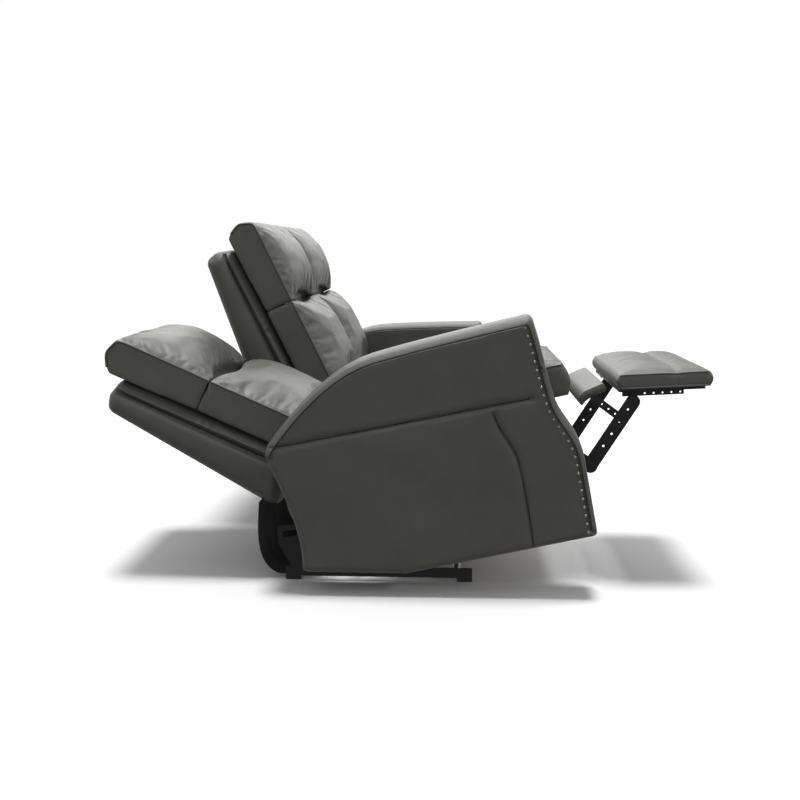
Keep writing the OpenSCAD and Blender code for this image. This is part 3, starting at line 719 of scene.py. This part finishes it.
def makeHead(s, look):
    size = (backWidth, s["deep"], s["headLong"])
    obj = boxPad("headPad", size, s["cuts"])
    for v in obj.data.vertices:
        u, d = v.co.x / size[0] * 2, v.co.z / size[2]
        deep = clamp(v.co.y / size[1])
        pillow(v, size, look)
        end = clamp((d - 0.75) / 0.25) ** 2
        v.co.z += end * (0.008 + 0.022 * math.sin(math.pi * clamp(deep * 0.85 + 0.1)) - 0.012 * deep ** 3)
        v.co.y += 0.006 * d * deep
        if v.co.y < 0.03:
            v.co.z += s["lens"] * max(0, 1 - (u / 0.7) ** 4) * (1 - d) ** 9
    swell(obj, s["voxel"], 3.2, 0.020, 0.02, frontFree)
    ruckle(obj, [(-size[0] / 2, 0), (size[0] / 2, 0), (-size[0] / 2, size[2]), (size[0] / 2, size[2])], look)
    finishPad(obj)
    welts = []
    for x in (-size[0] / 2, size[0] / 2):
        path = [(x, -0.001, 0.003), (x, -0.001, size[2] - 0.006), (x, 0.004, size[2] + 0.01),
            (x, size[1] * 0.5, size[2] + 0.03), (x, size[1] * 0.9, size[2] + 0.01)]
        line = surfaceLine(obj, pathPoints(path, 0.008), s["weltLift"])
        welts.append(tube("weltTube", line, s["weltR"], softWelt))
    return joinAll(obj, welts)

lumbarPad = makeLumbar(backLook, lumbarLook)
headPad = makeHead(backLook, headLook)
lumbarPad.data.transform(leanPlace)
headPad.data.transform(leanPlace @ Matrix.Translation((0, 0, backLook["lumbarLong"] + backLook["gap"])))
print("back pads:", len(lumbarPad.data.polygons), len(headPad.data.polygons))

seatLook = dict(crown=0.024, across=6, along=6, cuts=24, voxel=0.0095, fold=0.0025, pucker=0.002, reach=0.14,
    rays=12, seed=4, weltR=0.003)

def makeSeat(s):
    low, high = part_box("middle_seat_cushion")
    edge = high.z - low.z - 0.032
    size = (high.x - low.x - 0.004, edge, high.y - low.y)
    obj = boxPad("seatPad", size, s["cuts"])
    for v in obj.data.vertices:
        pillow(v, size, s)
        d = v.co.z / size[2]
        deep = clamp(v.co.y / size[1])
        v.co.z -= 0.014 * math.sin(math.pi * deep) * clamp(1 - d * 8)
    swell(obj, s["voxel"], 3.0, 0.016, 0.015, frontFree)
    ruckle(obj, [(-size[0] / 2, 0), (size[0] / 2, 0)], s)
    finishPad(obj)
    welts = []
    for x in (-size[0] / 2, size[0] / 2):
        line = surfaceLine(obj, pathPoints([(x, -0.001, size[2] - 0.01), (x, -0.001, 0.004)], 0.01), 0.0004)
        welts.append(tube("weltTube", line, s["weltR"], softWelt))
    across = [(-size[0] / 2, -0.002, 0), (size[0] / 2, -0.002, 0)]
    welts.append(tube("weltTube", surfaceLine(obj, pathPoints(across, 0.01), 0.0004), s["weltR"], softWelt))
    joinAll(obj, welts)
    # the pad's length turns to +Y and its crown to +Z
    turn = Matrix(((1, 0, 0, 0), (0, 0, 1, low.y), (0, -1, 0, low.z + edge), (0, 0, 0, 1)))
    obj.data.transform(turn)
    return obj

seatPad = makeSeat(seatLook)
toeLook = dict(crown=0.013, across=7, along=5, cuts=20, voxel=0.0072, rise=0.020, fold=0.0012, pucker=0.001,
    reach=0.06, rays=8, seed=6, split=0.37, weltR=0.0028)

def makeToe(s):
    low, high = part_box("far_footrest_pad")
    thick = high.y - low.y - s["rise"]
    size = (high.x - low.x - 0.002, thick, high.z - low.z)
    obj = boxPad("toePad", size, s["cuts"])
    for v in obj.data.vertices:
        d = v.co.z / size[2]
        deep = clamp(v.co.y / size[1])
        pillow(v, size, s)
        if v.co.y < 0.004:
            v.co.y += 0.006 * math.exp(-((d - s["split"]) / 0.04) ** 2)
        # the seat end stays within the board's length, to stop short of the deck when it is folded away
        belly = math.sin(math.pi * deep)
        v.co.z += 0.010 * ((belly - 1) * clamp(d * 4 - 3) - belly * clamp(1 - d * 4))
    swell(obj, s["voxel"], 2.5, 0.010, 0.01,
        lambda co: frontFree(co) * clamp(abs(co.z / size[2] - s["split"]) * 25))
    ruckle(obj, [(-size[0] / 2, size[2] * s["split"]), (size[0] / 2, size[2] * s["split"])], s)
    finishPad(obj)
    welts = []
    for x in (-size[0] / 2, size[0] / 2):
        for y in (-0.001, thick * 0.93):
            line = surfaceLine(obj, pathPoints([(x, y, 0.006), (x, y, size[2] - 0.006)], 0.008), 0.0003)
            welts.append(tube("weltTube", line, s["weltR"], softWelt))
    across = [(-size[0] / 2, -0.01, size[2] * s["split"]), (size[0] / 2, -0.01, size[2] * s["split"])]
    welts.append(tube("thread", surfaceLine(obj, pathPoints(across, 0.01), 0.0), 0.0012, softWelt))
    joinAll(obj, welts)
    obj.data.transform(Matrix.Translation((0, low.y + s["rise"], low.z)))
    return obj

toePad = makeToe(toeLook)
shellPiece = makeShell(shellLook)
print("seat, toe and shell:", *(len(o.data.polygons) for o in (seatPad, toePad, shellPiece)))

def placeSeats():
    still = Matrix.Identity(4)
    sets = [
        ("near", toNear, nearSeat, nearBack, nearToe,
            "near_seat", "near_back", "near_headrest", "near_footrest"),
        ("middle", still, still, still, still, "base", "base", "base", "base"),
        ("far", toFar, still, still, still, "far_seat", "far_back", "far_headrest", "far_footrest"),
    ]
    padShift = Matrix.Translation((0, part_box("middle_front_pad")[1].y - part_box("far_footrest_pad")[1].y, 0))
    for side, shift, seatM, backM, toeM, seatB, backB, headB, toeB in sets:
        parts = [
            (seatPad, "SeatCushion", seatM, seatB, "seat_cushion"),
            (lumbarPad, "LumbarCushion", backM, backB, "lumbar_cushion"),
            (headPad, "HeadCushion", backM, headB, "head_cushion"),
            (toePad, "ToePad", toeM, toeB, "front_pad" if side == "middle" else "footrest_pad"),
            (shellPiece, "BackShell", backM, backB, "back_shell"),
        ]
        for source, label, rest, body, node in parts:
            m = rest @ shift
            if label == "ToePad" and side == "middle":
                m = m @ padShift
            piece = placedCopy(source, side + label, m, body)
            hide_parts(side + "_" + node)
            if label == "HeadCushion" and side != "middle":
                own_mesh(piece)
    for source in (seatPad, lumbarPad, headPad, toePad, shellPiece):
        bpy.data.objects.remove(source)

placeSeats()
print("seats placed")

# ---- flaps ----

flapLook = dict(step=0.010, edge=0.012, drop=0.005, groove=0, puff=0.001, wave=0.001, ruck=0, columns=16,
    shoulder=20, curlFrom=0.010, curl=11.0)

def makeFlap(side, s):
    low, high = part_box(side + "_flap")
    loop = roundCorners(sideOutline(side + "_flap"), 0.010, 60)
    edges = [b - a for a, b in zip(loop, loop[1:] + loop[:1])]
    along = max(edges, key=lambda e: e.length).normalized()
    along = along if along.x > 0 else -along
    up = Vector((-along.y, along.x))
    middle = sum(loop, Vector((0, 0))) / len(loop)
    curled = []
    for p in evenLine(loop, s["step"], True):
        far = max(0, (p - middle).dot(along) - s["curlFrom"])
        curled.append(p - up * s["curl"] * far * far - along * far * 0.10)
    flap = slab(side + "Flap", curled, high.x, low.x, [], s, cushionLeatherLit, lambda n: 0.0006)
    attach(flap, side + "_long_link")
    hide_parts(side + "_flap")

for side in ("near", "far"):
    makeFlap(side, flapLook)
print("flaps made")

# ---- rear cloths ----

clothLook = dict(thick=0.0012, across=40, down=36, ripple=0.004)
pin = Vector((tiltPin.y, tiltPin.z))
# the far hem hangs further back than the middle one, to clear the base rails as its seat glides
hungPath = [pin + Vector(p) for p in ((0.250, 0.302), (0.262, 0.10), (0.275, 0.0), (0.285, -0.106))]
fixedPath = [pin + Vector(p) for p in ((0.250, 0.302), (0.262, 0.10), (0.236, 0.02), (0.240, -0.106))]
loopPath = [pin + Vector(p) for p in ((0.333, 0.126), (0.362, 0.030), (0.385, -0.045), (0.356, -0.090),
    (0.325, -0.106), (0.300, -0.106))]

def makeCloth(side, controls, place, bodies, s):
    path = bezier(controls, s["down"])
    low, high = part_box("middle_rear_cloth")
    work = bmesh.new()
    rows = []
    for k, p in enumerate(path):
        row = []
        for i in range(s["across"] + 1):
            x = low.x + (high.x - low.x) * i / s["across"]
            ease = math.sin(math.pi * k / s["down"]) ** 0.5
            fold = noise.noise(Vector((x * 9, k * 0.05, 2))) * s["ripple"] * ease
            row.append(work.verts.new((x, p.x + fold, p.y + fold * 0.3)))
        rows.append(row)
    for a, b in zip(rows, rows[1:]):
        for i in range(s["across"]):
            work.faces.new((a[i], b[i], b[i + 1], a[i + 1]))
    mesh = bpy.data.meshes.new(side + "RearCloth")
    work.to_mesh(mesh)
    work.free()
    mesh.transform(place)
    cloth = newObject(side + "RearCloth", mesh, dustCloth)
    wall = cloth.modifiers.new("wall", "SOLIDIFY")
    wall.thickness = s["thick"]
    wall.offset = 0
    applyModifiers(cloth)
    bpy.ops.object.shade_smooth_by_angle(angle=math.radians(60))
    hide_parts(side + "_rear_cloth")
    if len(bodies) == 1:
        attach(cloth, bodies[0])
        return
    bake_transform(cloth)

makeCloth("near", loopPath, nearSeat @ toNear, ("near_seat", "near_back"), clothLook)
makeCloth("middle", fixedPath, Matrix.Identity(4), ("base",), clothLook)
makeCloth("far", hungPath, toFar, ("far_seat", "far_back"), clothLook)
print("rear cloths hung")

# ---- stage ----

stageLook = dict(floorTone=0.72, ambientLow=0.24, ambientHigh=0.60, sun=3.0, sunAngle=14, shine=0.9,
    boxPlace=(2.6, 0.5, 2.9), boxLook=(0, 0.1, 0.5), boxSize=3.2, boxPower=70)

def addStage(s):
    bpy.ops.object.select_all(action="DESELECT")
    bpy.ops.mesh.primitive_plane_add(size=400, location=(0, 0, 0))
    floor = bpy.context.object
    floor.name = "floor"
    m = bpy.data.materials.new("paleFloor")
    m.use_nodes = True
    bsdf = m.node_tree.nodes["Principled BSDF"]
    bsdf.inputs["Base Color"].default_value = (s["floorTone"], s["floorTone"], s["floorTone"], 1)
    bsdf.inputs["Roughness"].default_value = 1
    bsdf.inputs["Specular IOR Level"].default_value = 0
    floor.data.materials.append(m)
    floor.visible_diffuse = False                 # a white floor would lift every shaded side
    floor.visible_glossy = False
    world = bpy.data.worlds.new("studio")
    scene.world = world
    world.use_nodes = True
    t = world.node_tree
    dim = t.nodes["Background"]
    dim.inputs["Color"].default_value = (1, 1, 1, 1)
    shown = addNode(t, "ShaderNodeBackground", Strength=1.0)
    shown.inputs["Color"].default_value = (1, 1, 1, 1)
    path = addNode(t, "ShaderNodeLightPath")
    # the studio's far side and its ceiling are what the leather reflects
    way = addNode(t, "ShaderNodeTexCoord").outputs["Generated"]
    apart = addNode(t, "ShaderNodeSeparateXYZ", [(way, 0)])
    sky = addNode(t, "ShaderNodeMapRange", [(apart.outputs["Z"], "Value")])
    sky.inputs["From Min"].default_value = -0.4
    sky.inputs["From Max"].default_value = 0.5
    sky.inputs["To Min"].default_value = s["ambientLow"]
    sky.inputs["To Max"].default_value = s["ambientHigh"]
    t.links.new(sky.outputs[0], dim.inputs["Strength"])
    facing = addNode(t, "ShaderNodeVectorMath", [(way, 0)], operation="DOT_PRODUCT")
    facing.inputs[1].default_value = (0.75, 0.1, 0.65)
    lit = addNode(t, "ShaderNodeMapRange", [(facing.outputs["Value"], "Value")])
    lit.inputs["From Min"].default_value = -0.1
    lit.inputs["From Max"].default_value = 0.7
    lit.inputs["To Min"].default_value = 0.05
    lit.inputs["To Max"].default_value = s["shine"]
    gloss = addNode(t, "ShaderNodeMath", [(path.outputs["Is Glossy Ray"], 0), (lit.outputs[0], 1)],
        operation="MULTIPLY")
    seen = addNode(t, "ShaderNodeMath", [(path.outputs["Is Camera Ray"], 0), (gloss.outputs[0], 1)],
        operation="MAXIMUM")
    mix = addNode(t, "ShaderNodeMixShader",
        [(seen.outputs[0], 0), (dim.outputs[0], 1), (shown.outputs[0], 2)])
    t.links.new(mix.outputs[0], t.nodes["World Output"].inputs["Surface"])
    bpy.ops.object.light_add(type="SUN", location=(0, 0, 4))
    sun = bpy.context.object
    sun.data.energy = s["sun"]
    sun.data.angle = math.radians(s["sunAngle"])
    bpy.ops.object.light_add(type="AREA", location=s["boxPlace"])
    box = bpy.context.object
    box.data.size = s["boxSize"]
    box.data.energy = s["boxPower"]
    box.rotation_mode = "QUATERNION"
    box.rotation_quaternion = (Vector(s["boxLook"]) - Vector(s["boxPlace"])).to_track_quat("-Z", "Y")

addStage(stageLook)
